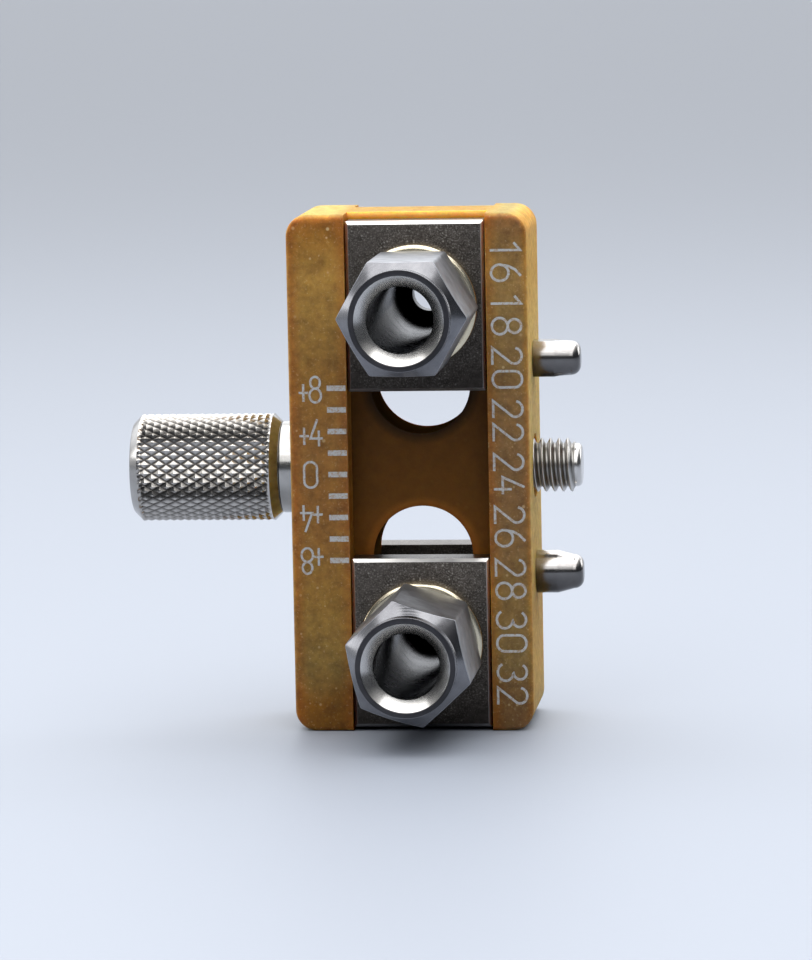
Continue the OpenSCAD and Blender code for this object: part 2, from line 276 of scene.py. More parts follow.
def rgba(colour):
    """A colour as a socket takes it, from hex, from linear values or from one value of grey."""
    if isinstance(colour, str):
        colour = linear(colour)
    elif isinstance(colour, int):
        colour = (colour,) * 3
    return (*colour, 1)


def add(tree, kind, sockets=(), **settings):
    """Adds a shader node. Settings are its own properties; sockets gives its inputs, each a value
    or another node's output socket that is linked to it."""
    made = tree.nodes.new("ShaderNode" + kind)
    for key, value in settings.items():
        setattr(made, key, value)
    for key, value in dict(sockets).items():
        if isinstance(value, bpy.types.NodeSocket):
            tree.links.new(value, made.inputs[key])
        else:
            made.inputs[key].default_value = value
    return made


def maths(tree, operation, *values):
    """Adds an operation on values or sockets."""
    return add(tree, "Math", dict(enumerate(values)), operation=operation).outputs[0]


def times(tree, first, second):
    """Adds a product of two values."""
    return maths(tree, "MULTIPLY", first, second)


def between(tree, value, low, high, start=0, end=1):
    """Adds a value that goes from start, at low, to end, at high."""
    names = ("Value", "From Min", "From Max", "To Min", "To Max")
    return add(tree, "MapRange", dict(zip(names, (value, low, high, start, end)))).outputs[0]


def ramp(tree, factor, *stops):
    """Adds a colour ramp whose stops are (position, colour)."""
    made = add(tree, "ValToRGB", {"Fac": factor})
    elements = made.color_ramp.elements
    while len(elements) < len(stops):
        elements.new(0.5)
    for element, (position, colour) in zip(elements, stops):
        element.position = position
        element.color = rgba(colour)
    return made.outputs["Color"]


def mixed(tree, factor, first, second, blend="MIX"):
    """Adds a mix of two colours, each a colour or a socket."""
    values = [c if isinstance(c, bpy.types.NodeSocket) else rgba(c) for c in (first, second)]
    sockets = {0: factor, 6: values[0], 7: values[1]}
    return add(tree, "Mix", sockets, data_type="RGBA", blend_type=blend).outputs[2]


def blended(tree, factor, first, second):
    """Adds a mix of two values."""
    return add(tree, "Mix", {0: factor, 2: first, 3: second}).outputs[0]


def own_place(tree):
    """Adds the place in the object's own axes."""
    return add(tree, "TexCoord").outputs["Object"]


def along(tree, axis, low_mm, high_mm):
    """Adds the place along one of the object's own axes, 0 at low and 1 at high."""
    place = add(tree, "SeparateXYZ", {0: own_place(tree)}).outputs[axis]
    return between(tree, place, low_mm * MM, high_mm * MM)


def from_axis(tree):
    """Adds the distance from the object's own Z."""
    flat = add(tree, "VectorMath", {0: own_place(tree), 1: (1, 1, 0)}, operation="MULTIPLY")
    return add(tree, "VectorMath", {0: flat.outputs[0]}, operation="LENGTH").outputs["Value"]


def moved(tree, offset, squash=(1, 1, 1)):
    """Adds the object's own place for a pattern, moved along all axes and scaled on each."""
    sockets = {"Vector": own_place(tree), "Location": (offset,) * 3, "Scale": squash}
    return add(tree, "Mapping", sockets).outputs["Vector"]


def grain(tree, size_mm, detail=3.0, rough=0.55, offset=0.0, squash=(1, 1, 1)):
    """Adds noise whose features are about this many millimetres across."""
    sockets = {
        "Vector": moved(tree, offset, squash), "Scale": 1 / (size_mm * MM),
        "Detail": detail, "Roughness": rough,
    }
    return add(tree, "TexNoise", sockets).outputs["Fac"]


def flecks(tree, size_mm, least, most, offset=0.0):
    """Adds irregular flecks: the peaks of a noise, none at least and full at most."""
    return between(tree, grain(tree, size_mm, 2.0, 0.65, offset), least, most)


def specks(tree, spacing_mm, largest, share, offset=0.0):
    """Adds round dots of random size, up to largest times their spacing across, as a 0 to 1 value.
    Share is the part of the places that hold a dot."""
    sockets = {"Vector": moved(tree, offset), "Scale": 1 / (spacing_mm * MM)}
    cells = add(tree, "TexVoronoi", sockets)
    chance = add(tree, "SeparateColor", {"Color": cells.outputs["Color"]}).outputs["Red"]
    reach = between(tree, chance, 1 - share, 1, 0.001, largest)
    near = maths(tree, "DIVIDE", cells.outputs["Distance"], reach)
    return between(tree, near, 0.5, 1, 1, 0)


def turning_lines(tree, spacing_mm, wander=0.6):
    """Adds the fine rings that a turning tool leaves round local Z, this far apart."""
    height = add(tree, "SeparateXYZ", {0: own_place(tree)}).outputs["Z"]
    # walls get rings as well as faces, 1.7 times as close
    feed = maths(tree, "MULTIPLY_ADD", height, 1.7, from_axis(tree))
    # a wave repeats every 0.314 units at scale 1
    repeat = 0.31416
    sockets = {
        "Vector": add(tree, "CombineXYZ", {"X": feed}).outputs[0],
        "Scale": repeat / (spacing_mm * MM),
        "Distortion": wander, "Detail": 2.0, "Detail Scale": 2.0,
    }
    return add(tree, "TexWave", sockets).outputs["Fac"]


def groove_grime_and_shade(tree, shade, floor_mm, crest_mm, grime_and_shade):
    """Darkens a colour from the crests, this far from local Z, down to the floors of grooves:
    partly grime, partly painted shade.
    """
    clean = between(tree, from_axis(tree), floor_mm * MM, crest_mm * MM)
    return mixed(tree, clean, grime_and_shade, shade)


def painted_shade_below(tree, shade, reach_mm, lowest, half_way):
    """Darkens a colour toward a piece's lower side: a painted shade."""
    fall = ramp(tree, along(tree, "Y", -reach_mm, reach_mm), (0, lowest), (0.5, half_way), (1, 1))
    return mixed(tree, 1.0, shade, fall, "MULTIPLY")


def new_material(name):
    """A material with an empty node tree."""
    made = bpy.data.materials.new(name)
    made.use_nodes = True
    made.node_tree.nodes.clear()
    return made, made.node_tree


def shaded(tree, sockets):
    """Adds the shader with these sockets, and the output that it feeds."""
    shader = add(tree, "BsdfPrincipled", sockets)
    add(tree, "OutputMaterial", {"Surface": shader.outputs[0]})


# ---- materials


def steel(
    name, colour, stain, roughness, pattern, depth_mm,
    smear=0.3, cloud_mm=3.0, dust=None, over=None,
):
    """A steel: stains vary its colour, a pattern roughens it by a depth, smear is how much its
    roughness varies, dust, a colour, scatters fine pale specks on it, and over has the last word.
    Pattern and over are each a function of this file and what it takes after tree and colour."""
    made, tree = new_material(name)
    relief = pattern[0](tree, *pattern[1:])
    shade = ramp(tree, grain(tree, cloud_mm, 5.0, 0.62, 0.013), (0.34, stain), (0.64, colour))
    if dust:
        # blasting grit of 0.1 mm, denser in patches, with fine flecks between
        patch = between(tree, grain(tree, 4.0, 3.0, 0.6, 0.03), 0.3, 0.62)
        grit = maths(tree, "MAXIMUM", specks(tree, 0.3, 0.4, 0.6), flecks(tree, 0.16, 0.5, 0.8))
        shade = mixed(tree, times(tree, grit, patch), shade, dust)
    if over:
        shade = over[0](tree, shade, *over[1:])
    least, most = roughness * (1 - smear), roughness * (1 + smear)
    bump = add(tree, "Bump", {"Strength": 0.6, "Distance": depth_mm * MM, "Height": relief})
    shaded(tree, {
        "Base Color": shade, "Metallic": 1.0,
        "Roughness": between(tree, grain(tree, 1.2, 5.0), 0, 1, least, most),
        "Normal": bump.outputs["Normal"],
    })
    return made


# Colours of the amber plastic by height above the block's middle, in mm
# they darken toward the foot as a painted shade, and the stops above 23.2 mm are a painted glow on
# the top edge
AMBER_TONES = (
    (-24, "#805209"), (-21, "#84560A"), (-18, "#927537"), (-12, "#A17B34"), (-7, "#9C7030"),
    (-3, "#97682C"), (4, "#9D6F32"), (9, "#9A702E"), (13, "#977434"), (18, "#AC853D"),
    (22, "#9D6F25"), (23.2, "#A0661E"), (23.6, "#CC8A34"), (23.85, "#D9AC52"), (23.95, "#BCA75F"),
)
# The block's two outer sides: a paler honey colour, painted as the glow of the light that crosses
# them
SIDE_GLOW_TONES = (
    (-24, "#9C8656"), (-19, "#BC934C"), (-13, "#B28A48"), (-5, "#C4A15A"), (5, "#CBA862"),
    (13, "#CEA65A"), (18, "#C69848"), (21.8, "#CC9A4C"), (23, "#DC9E4A"), (23.7, "#D9A850"),
    (23.95, "#BCA75F"),
)
# The channels' floors, painted deep brown as their shade, lighter low down and with a painted glow
# at the top end; and the walls of the slots, painted near black as shade
CUT_SHADE_TONES = (
    (-24, "#80521A"), (-9, "#7A4C15"), (-3, "#654010"), (5, "#5F3B0F"), (10, "#6A4110"),
    (22.6, "#6A4110"), (23.5, "#D9A038"), (23.9, "#F3DC8E"),
)
SLOT_SHADE_TONES = ((-24, "#3A260E"), (20, "#33200B"), (23.9, "#3A260E"))
# The block's reach along its own axes, in mm
BLOCK_X, BLOCK_Y, BLOCK_Z = (-22.2, 0), (-6.5, 6.5), (-24, 24)


def by_height(tree, level, tones):
    """Adds the colour that tones of (mm, colour) give at a level: 0 is the foot, 1 the top."""
    low, high = BLOCK_Z
    return ramp(tree, level, *(((z - low) / (high - low), colour) for z, colour in tones))


def rail_tints(tree, shade, level, strength):
    """Tints the block's rails and sides; gives the colour, and a value of 1 where it is matt."""
    # each rail is orange for about a millimetre at its two sides
    across = ramp(
        tree, along(tree, "X", *BLOCK_X),
        (0, 0), (0.02, 1), (0.06, 0), (0.19, 0), (0.243, 1), (0.828, 1), (0.88, 0), (1, 0),
    )
    shade = mixed(tree, times(tree, across, 0.5 * strength), shade, "#9C5A14")
    # the right rail is handled more, so it is a little greyer along its middle
    handled = ramp(tree, along(tree, "X", -3.6, 0), (0, 0), (0.3, 1), (0.8, 1), (1, 0))
    shade = mixed(tree, times(tree, handled, 0.4 * strength), shade, "#7C6A50")
    # behind its front and back face the block is quite matt, and its outer sides are painted a
    # paler honey, as a glow of crossing light
    behind = ramp(
        tree, along(tree, "Y", *BLOCK_Y), (0.003, 0), (0.035, 1), (0.965, 1), (0.997, 0)
    )
    matt = times(tree, behind, strength)
    ends = ramp(tree, along(tree, "X", *BLOCK_X), (0.05, 1), (0.09, 0), (0.91, 0), (0.95, 1))
    side_glow = by_height(tree, level, SIDE_GLOW_TONES)
    return mixed(tree, times(tree, ends, matt), shade, side_glow), matt


def slot_rims(tree, shade):
    """Tints the web for a millimetre round its slots: light that runs down in it glows round the
    lower one, and the upper one lies in the shade of its slide."""
    place = add(tree, "SeparateXYZ", {0: own_place(tree)}).outputs
    height = maths(tree, "ABSOLUTE", place["Z"])
    short = maths(tree, "MINIMUM", maths(tree, "SUBTRACT", height, SLOT_IN * MM), 0)
    past = maths(tree, "MAXIMUM", maths(tree, "SUBTRACT", height, SLOT_OUT * MM), 0)
    # the slots' centre line is 10.3 mm from the mating face
    aside = maths(tree, "ADD", place["X"], 10.3 * MM)
    reach = add(tree, "CombineXYZ", {0: aside, 1: maths(tree, "ADD", short, past)})
    away = add(tree, "VectorMath", {0: reach.outputs[0]}, operation="LENGTH").outputs["Value"]
    close = between(tree, away, 4.6 * MM, 5.7 * MM)
    glow = ramp(
        tree, close,
        (0, "#505050"), (0.15, "#A0A0A0"), (0.4, "#B0B0B0"), (0.6, "#808080"), (0.85, 0),
    )
    dark = ramp(tree, close, (0, "#EDEDED"), (0.35, "#C8C8C8"), (0.65, "#A0A0A0"), (1, 0))
    upper = along(tree, "Z", -1, 1)
    hue = mixed(tree, upper, "#9A5C1C", "#0C0702")
    return mixed(tree, blended(tree, upper, glow, dark), shade, hue)


def amber_plastic(name, tones, edge, scuff, worn, gloss, dull, over=None):
    """Polyetherimide, an amber plastic that light glows in. Tones gives its colour by height, edge
    how strongly its rails are tinted, scuff and worn its pale flecks, gloss its mirror, dull the
    range of its roughness, and over, a function of the tree and the colour, a last tint."""
    made, tree = new_material(name)
    # the tones meet in clouds about 5 mm across, except in the last millimetre at the top
    height = along(tree, "Z", *BLOCK_Z)
    clouds = maths(tree, "MULTIPLY_ADD", grain(tree, 5.0), 0.12, -0.06)
    level = blended(tree, along(tree, "Z", 22.6, 23.2), maths(tree, "ADD", height, clouds), height)
    shade = by_height(tree, level, tones)
    rough = between(tree, grain(tree, 0.8, 4.0), 0, 1, *dull)
    if edge:
        shade, matt = rail_tints(tree, shade, level, edge)
        rough = blended(tree, matt, rough, 0.62)
        gloss = between(tree, matt, 0, 1, gloss, 0.03)
    if over:
        shade = over(tree, shade)
    # a sandy mottle of 1 mm and finer
    sand = ramp(tree, grain(tree, 1.0, 6.0, 0.75, 0.02), (0.34, "#B2ACA2"), (0.66, 1))
    shade = mixed(tree, 0.35 + 0.5 * edge, shade, sand, "MULTIPLY")
    # specks up to 0.25 mm across, 0.8 mm apart, and dust, which is 0.05 mm and drawn at 0.12 mm
    patches = between(tree, grain(tree, 5.0, 3.0, 0.6, 0.05), 0.36, 0.7)
    dots = times(tree, specks(tree, 0.8, 0.28, 0.5, 0.003), patches)
    dusty = times(tree, flecks(tree, 0.2, 0.6, 0.8, 0.007), 0.6)
    scuffed = maths(tree, "MAXIMUM", dots, dusty)
    shade = mixed(tree, times(tree, scuffed, worn), shade, scuff)
    pits = {"Strength": 0.6, "Distance": 0.02 * MM, "Height": grain(tree, 0.2, 3.0, 0.65)}
    shaded(tree, {
        "Base Color": shade, "Roughness": rough, "IOR": 1.66, "Specular IOR Level": gloss,
        "Subsurface Weight": 0.8, "Subsurface Radius": (1.0, 0.45, 0.12),
        "Subsurface Scale": 1.6 * MM, "Normal": add(tree, "Bump", pits).outputs["Normal"],
    })
    return made


def fired_ink():
    """Epoxy ink, printed and baked: a flat pale blue-grey, thin enough to be worn in places."""
    made, tree = new_material("baked_epoxy_ink")
    # wear about 0.2 mm across lets the amber show through
    worn = between(tree, grain(tree, 0.2, 4.0, 0.75), 0.46, 0.68)
    shaded(tree, {
        "Base Color": mixed(tree, worn, "#A9ABAC", "#94713F"),
        "Roughness": between(tree, grain(tree, 0.5), 0, 1, 0.5, 0.7), "IOR": 1.55,
    })
    return made


def make_materials():
    """All finishes of the jig, by a short name."""
    made = {}

    def stainless(how, *look, **more):
        made[how] = steel(how + "_stainless_steel", *look, **more)

    # Stainless steel, bead blasted: a dark, even, brownish grey. Its pits are about 0.05 mm wide
    # and are drawn at 0.14 mm, as finer ones would not show.
    # each slide darkens toward its lower end: a painted shade
    stainless(
        "bead_blasted", "#6A635C", "#4F4943", 0.36, (grain, 0.14, 2.0, 0.7), 0.03,
        0.15, 0.5, "#BDB6AB", (painted_shade_below, 7.85, "#8C8C8E", "#C0C0C0"),
    )
    # Stainless steel, milled: the narrow bevels are smooth and flash where they face the light.
    # toward a slide's lower end the bevels darken: a painted shade
    stainless(
        "milled", "#F0EEEA", "#DEDBD7", 0.32, (grain, 0.12, 2.0, 0.5, 0.0, (1, 8, 1)), 0.006,
        over=(painted_shade_below, 7.85, "#8C8C8E", "#A0A0A0"),
    )
    # Stainless steel, turned: rings of the tool, 0.1 mm apart and drawn at 0.16 mm, spread each
    # highlight into a soft fan.
    stainless("turned", "#858588", "#6C6C70", 0.24, (turning_lines, 0.16), 0.005)
    # Stainless steel, faced: the flat rim round a mouth is dull, and painted dark as a reflection
    # of the dim room in front.
    stainless("faced", "#4A494C", "#3A3A3D", 0.36, (turning_lines, 0.2), 0.002)
    # Stainless steel bar, drawn: its flats keep faint straight lines and handling smudges.
    stainless(
        "drawn", "#9A9CA1", "#7D7F84", 0.42, (grain, 0.25, 3.0, 0.6, 0.0, (1, 1, 0.06)), 0.012,
        0.4, 1.4,
    )
    # Stainless steel, countersunk and deburred: brighter and smoother than the rest.
    stainless("countersunk", "#D2D0CD", "#BEBCB9", 0.22, (turning_lines, 0.2), 0.0015)
    # Stainless steel, reamed: the bore is painted near black as its shade, and its fine spiral
    # marks catch a thin light.
    stainless("reamed", "#1B1D21", "#111216", 0.26, (turning_lines, 0.3, 1.0), 0.0015)
    # Stainless steel, polished: sharp bright reflections with hardly a mark.
    stainless("polished", "#B0AEAB", "#9A9895", 0.17, (grain, 0.3, 3.0, 0.5), 0.002)
    # Stainless steel, centreless ground: smooth pins with bright backs; their undersides are
    # darkened as a painted shade.
    stainless(
        "ground", "#C9C6C3", "#B2AFAC", 0.18, (grain, 0.3, 3.0, 0.5), 0.002,
        over=(painted_shade_below, 1.5, "#77787B", "#98989A"),
    )
    # Stainless steel, thread rolled: bright crests over dark grooves, darkened partly by oil and
    # partly as painted shade.
    stainless(
        "rolled", "#BDBBB8", "#A5A3A1", 0.32, (grain, 0.2, 3.0, 0.6), 0.003,
        over=(groove_grime_and_shade, 2.05, 2.4, "#8E8C89"),
    )
    # Stainless steel, tumbled and heat tinted: a round rim with a faint straw tint.
    stainless("tumbled", "#DCD3BC", "#C9BFA6", 0.24, (grain, 0.3, 3.0, 0.5), 0.002)
    # Stainless steel, knurled by pressed rolls: the flanks of the points are bright and smooth.
    # its grooves darken toward their floors, partly as grime and partly as painted shade
    stainless(
        "knurled", "#C6C2BD", "#B0ACA7", 0.18, (grain, 0.1, 3.0, 0.6), 0.004,
        over=(groove_grime_and_shade, 4.72, 4.9, "#494643"),
    )
    # Spring steel, stamped and oiled: near black, with a dull sheen on its rolled edges.
    made["spring"] = steel(
        "oiled_spring_steel", "#58585B", "#3C3C40", 0.36, (grain, 0.2, 3.0, 0.6), 0.01
    )
    # Polyetherimide, tumbled: a satin, sandy face, orange at its edges, olive where it is thick.
    # The stops run from the floor up and darken toward the foot as a painted shade; the top end's
    # pale gold is a painted glow.
    made["amber"] = amber_plastic(
        "tumbled_polyetherimide", AMBER_TONES, 1.0, "#D6BC8A", 0.6, 0.16, (0.36, 0.5)
    )
    # Polyetherimide, milled: a smooth floor, painted deep brown as the channels' shade, with a
    # painted glow at its top end and round the lower slot and a painted shade round the upper one.
    made["cut_amber"] = amber_plastic(
        "milled_polyetherimide", CUT_SHADE_TONES, 0.0, "#8A6A36", 0.12, 0.06, (0.4, 0.5), slot_rims
    )
    # Polyetherimide, slotted with an end mill: rough walls that mirror nothing, painted near black
    # as the shade in the slots.
    made["slot_amber"] = amber_plastic(
        "rough_milled_polyetherimide", SLOT_SHADE_TONES, 0.0, "#6A5026", 0.1, 0.0, (0.6, 0.7)
    )
    made["ink"] = fired_ink()
    return made


# ---- sizes a user may change


def length(name, description, default_mm):
    """A length property in metres, with its default in mm."""
    return bpy.props.FloatProperty(
        name=name, description=description, default=default_mm * MM, subtype="DISTANCE",
        unit="LENGTH", precision=5,
    )


def tint(name, description, default):
    """A colour property."""
    return bpy.props.FloatVectorProperty(
        name=name, description=description, default=linear(default), subtype="COLOR",
        min=0, max=1,
    )


class JIG_PG_body(bpy.types.PropertyGroup):
    """Sizes of the plastic body that the packed solid doesn't state by its box."""

    corner: length("Corner radius", "Radius of the four corners, seen from the front", 2)
    edge: length("Edge rounding", "Rounding along the front and back edges", 0.45)
    broken: length("Broken edge", "Width of the deburred edge along channels and slots", 0.12)
    web_y: length("Web half depth", "From the middle plane to the channels' floors", 3.2)
    slot_half: length("Slot half width", "Half the width of the two slots", SLOT_HALF)
    slot_in: length("Slot inner centre", "Height of the slot's inner arc centre", SLOT_IN)
    slot_out: length("Slot outer centre", "Height of the slot's outer arc centre", SLOT_OUT)


class JIG_PG_marks(bpy.types.PropertyGroup):
    """Sizes of the printed scale."""

    step: length("Step", "Distance between two marks", 2)
    mark_length: length("Mark length", "Length of a mark", 1.75)
    mark_width: length("Mark width", "Width of a mark", 0.5)
    digit_height: length("Digit height", "Height of the scale's digits", 2.38)
    digit_width: length("Digit width", "Width of the scale's digits", 1.06)
    stroke: length("Stroke", "Width of a printed stroke", 0.21)


class JIG_PG_guides(bpy.types.PropertyGroup):
    """Sizes of the guide barrels and slides."""

    bore: length("Bore radius", "Radius of the guide bore", 3)
    drill: length("Drill hole radius", "Radius of the hole through the rear end", 1.6)
    stop: length("Stop length", "Length of the rear end behind the guide bore", 3)
    shank: length("Shank radius", "Radius of the shank behind the hexagon", 4.5)
    nose: length("Nose radius", "Radius of the round nose", 4.6)
    mouth: length("Mouth radius", "Radius of the countersunk mouth", 4.1)
    flat: length("Flat distance", "Distance from the axis to a flat of the hexagon", 5.15)
    washer: length("Washer radius", "Radius of the thrust washer's round rim", 5.75)
    bevel: length("Slide bevel", "Bevel round the outer face of a slide", 0.3)
    hole: length("Slide hole radius", "Radius of the hole in a slide", 4.55)


class JIG_PG_screw(bpy.types.PropertyGroup):
    """Sizes of the thumb screw."""

    starts: bpy.props.IntProperty(
        name="Knurl starts", description="Grooves that climb each way round the knob", default=36,
        min=8,
    )
    knurl_depth: length("Knurl depth", "Depth of the knurling", 0.26)
    chamfer: length("Knob chamfer", "Chamfer at both ends of the knob", 0.8)
    radius: length("Thread radius", "Outer radius of the thread", 2.5)
    pitch: length("Thread pitch", "Distance between two crests of the thread", 0.8)


class JIG_PG_stage(bpy.types.PropertyGroup):
    """The studio."""

    floor: tint("Floor colour", "Colour of the floor", "#9197A2")
    backdrop: tint("Backdrop colour", "Colour of the bright wall behind the jig", "#F4F7FC")
    room: tint("Room colour", "Colour of the dim room in front of the jig", "#53565B")
    key: bpy.props.FloatProperty(
        name="Key light", description="Power of the large lamp above", default=4.6, min=0,
        unit="POWER",
    )


# ---- the body and its scale


def block_mesh(size, corner, edge):
    """The body's block before any cut: rounded corners, and softly rounded front and back edges."""
    bm = bmesh.new()
    rows = []
    steps = 6
    for side in (-1, 1):
        for k in range(steps + 1):
            a = math.radians(90 * (k if side < 0 else steps - k) / steps)
            inset = edge * (1 - math.sin(a))
            y = side * (size.y / 2 - edge * (1 - math.cos(a)))
            outline = rounded_outline(size.x - 2 * inset, size.z - 2 * inset, corner - inset, 12)
            rows.append([(x, y, z) for x, z in outline])
    lofted(bm, rows, caps=(0, -1))
    bmesh.ops.translate(bm, vec=centre_of("jig_body"), verts=bm.verts)
    return finished(bm, "block")


def slot_mesh(x, sizes, side, reach):
    """A stadium-shaped bar along Y that cuts one slot, above the middle or below it."""
    bm = bmesh.new()
    low, high = sorted((side * sizes.slot_in, side * sizes.slot_out))
    half = sizes.slot_half
    outline = arc(x, high, half, half, 0, 180, 96) + arc(x, low, half, half, 180, 360, 96)
    lofted(bm, [[(px, y, pz) for px, pz in outline] for y in (-reach, reach)], caps=(0, -1))
    return finished(bm, "slot")


def round_cutter(name, profile, place):
    """A turned cutter, from a profile of (radius, height)."""
    return new_object(name, turned(name, [(r, z, 0) for r, z in profile], segments=64), place)


class JIG_OT_body(bpy.types.Operator):
    """Make the slotted body of amber plastic"""

    bl_idname = "jig.body"
    bl_label = "Body"

    def execute(self, context):
        sizes = context.scene.jig_body
        low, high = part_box("jig_body")
        left, right = span("upper_front_slide", 0)
        play = 0.1 * MM
        block = new_object("block", block_mesh(high - low, sizes.corner, sizes.edge))
        bm = bmesh.new()
        for side in (-1, 1):
            near, far = sorted((side * sizes.web_y, side * (high.y + MM)))
            box_mesh(bm, (left - play, near, low.z - MM), (right + play, far, high.z + MM))
        cutters = [new_object("channels", finished(bm, "channels"))]
        centre = (left + right) / 2
        for side in (-1, 1):
            cutters.append(new_object("slot", slot_mesh(centre, sizes, side, sizes.web_y + play)))
        # the stud's mouth in the mating face is wider than the rest of its bore
        mouth, bore, depth, end = 3 * MM, 2.6 * MM, 0.5 * MM, MM - low.x
        profile = [(0, -MM), (mouth, -MM), (mouth, depth), (bore, depth), (bore, end), (0, end)]
        cutters.append(round_cutter("bore", profile, screw_place(0)))
        keeper_low, keeper_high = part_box("screw_retaining_pin")
        radius, through = (keeper_high.x - keeper_low.x) / 2, 20 * MM
        start = centre_of("screw_retaining_pin")
        start.y = keeper_low.y
        profile = [(0, 0), (radius, 0), (radius, through), (0, through)]
        place = axes((1, 0, 0), (0, 0, -1), (0, 1, 0), start)
        cutters.append(round_cutter("keeper", profile, place))
        mesh = carved(block, cutters)
        made = piece(
            "body_of_amber_plastic", "body", ("amber", "cut_amber", "slot_amber"), mesh,
            stands_for=["jig_body"], sharp=25,
        )
        near, reach = 0.01 * MM, (right - left) / 2 + 2 * play
        for face in mesh.polygons:
            x, y, z = (abs(v) for v in face.center - Vector((centre, 0, 0)))
            if x < reach and y < sizes.web_y + near and z < high.z - near:
                face.material_index = 1 if abs(face.normal.y) > 0.5 else 2
        eased_edges(made, sizes.broken, 50, 3)
        return {"FINISHED"}


# Strokes of each printed sign in a unit box, as (closed, points)
GLYPHS = {
    "0": [(True, arc(0.5, 0.76, 0.5, 0.24, 0, 180) + arc(0.5, 0.24, 0.5, 0.24, 180, 360))],
    "1": [(False, [(0.12, 0.8), (0.55, 1), (0.55, 0)])],
    "2": [(False, arc(0.5, 0.75, 0.48, 0.25, 165, -25) + [(0, 0), (1, 0)])],
    "3": [(False, arc(0.46, 0.77, 0.46, 0.23, 150, -80) + arc(0.46, 0.27, 0.54, 0.27, 80, -150))],
    "4": [(False, [(0.6, 1), (0, 0.28), (1, 0.28)]), (False, [(0.74, 0.56), (0.74, 0)])],
    "6": [
        (True, arc(0.5, 0.3, 0.5, 0.3, 0, 355, 26)),
        (False, [(0.02, 0.36), (0.1, 0.6), (0.3, 0.82), (0.66, 1)]),
    ],
    "8": [
        (True, arc(0.5, 0.77, 0.42, 0.23, 0, 352, 24)),
        (True, arc(0.5, 0.27, 0.5, 0.27, 0, 352, 24)),
    ],
    "+": [(False, [(0, 0.5), (1, 0.5)]), (False, [(0.5, 0), (0.5, 1)])],
}


def ribbon(bm, points, width, closed, lift):
    """Adds a flat stroke of this width along points (x, z), at y = lift. An open stroke goes on
    for 0.3 of its width at both ends, and a sharp bend is widened to 1 / 0.45 at most."""
    count = len(points)
    edges = []
    for i, point in enumerate(points):
        here = Vector(point)
        before = here - Vector(points[i - 1]) if closed or i else Vector(points[1]) - here
        after = Vector(points[(i + 1) % count]) - here if closed or i < count - 1 else before
        ahead = (before.normalized() + after.normalized()).normalized()
        side = Vector((-ahead.y, ahead.x))
        reach = width / 2 / max(0.45, side.dot(Vector((-before.y, before.x)).normalized()))
        if not closed and i in (0, count - 1):
            here += ahead * width * (0.3 if i else -0.3)
        edges.append([here + side * reach, here - side * reach])
    verts = [[bm.verts.new((p.x, lift, p.y)) for p in pair] for pair in edges]
    for i in range(count if closed else count - 1):
        k = (i + 1) % count
        bm.faces.new((verts[i][0], verts[i][1], verts[k][1], verts[k][0]))


def sign(bm, glyph, place, size, width, front):
    """Adds one sign. Place turns a point of the sign's box, in metres, into (x, z) on the face."""
    for number, (closed, points) in enumerate(GLYPHS[glyph]):
        spots = [place(px * size[0], pz * size[1]) for px, pz in points]
        # the ink stands 12 micrometres proud, and strokes that cross lie 3 micrometres apart
        ribbon(bm, spots, width, closed, front - (12 + number * 3) * 1e-6)


class JIG_OT_scale(bpy.types.Operator):
    """Make the printed marks and numbers on both rails"""

    bl_idname = "jig.scale"
    bl_label = "Scale"

    def execute(self, context):
        sizes = context.scene.jig_marks
        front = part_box("jig_body")[0].y
        left, right = span("upper_front_slide", 0)
        bm = bmesh.new()
        inner, half, proud, sunk = left - 0.2 * MM, sizes.mark_width / 2, 0.012 * MM, 0.1 * MM
        for i in range(-4, 5):
            z = i * sizes.step
            outer = inner - sizes.mark_length
            box_mesh(bm, (outer, front - proud, z - half), (inner, front + sunk, z + half))
        stroke = sizes.stroke
        zero, plus = (1.2 * MM, sizes.digit_height), (0.76 * MM, 1.5 * MM)
        digit = (sizes.digit_width, sizes.digit_height)
        # each sign's corner in mm, its size, and 1 where it is upright or -1 upside down
        for glyph, x, z, size, way in (
            ("0", -20.9, -1.2, zero, 1),
            ("+", -21.2, 6.84, plus, 1), ("8", -20.24, 6.7, digit, 1),
            ("+", -21.2, 2.84, plus, 1), ("4", -20.24, 2.7, digit, 1),
            ("+", -19.32, -2.96, plus, -1), ("4", -20.24, -2.9, digit, -1),
            ("+", -19.32, -6.9, plus, -1), ("8", -20.24, -6.84, digit, -1),
        ):
            def placed(px, pz, x=x * MM, z=z * MM, way=way):
                return x + way * px, z + way * pz

            sign(bm, glyph, placed, size, stroke, front)

        # distances between the guides, 16 to 32 mm, run down the other rail, as on a plain ruler
        top, advance, spacing, foot = 21.4 * MM, 4.9 * MM, 2.15 * MM, right + 0.62 * MM
        size = (1.5 * MM, 2.7 * MM)
        for number in range(9):
            for order, glyph in enumerate(str(16 + 2 * number)):
                def placed(px, pz, start=top - number * advance - order * spacing):
                    return foot + pz, start - px

                sign(bm, glyph, placed, size, stroke * 1.1, front)
        mesh = finished(bm, "scale_ink", 1e-9)
        piece("scale_ink", "body", ("ink",), mesh)
        return {"FINISHED"}


# ---- slides, washers and rings


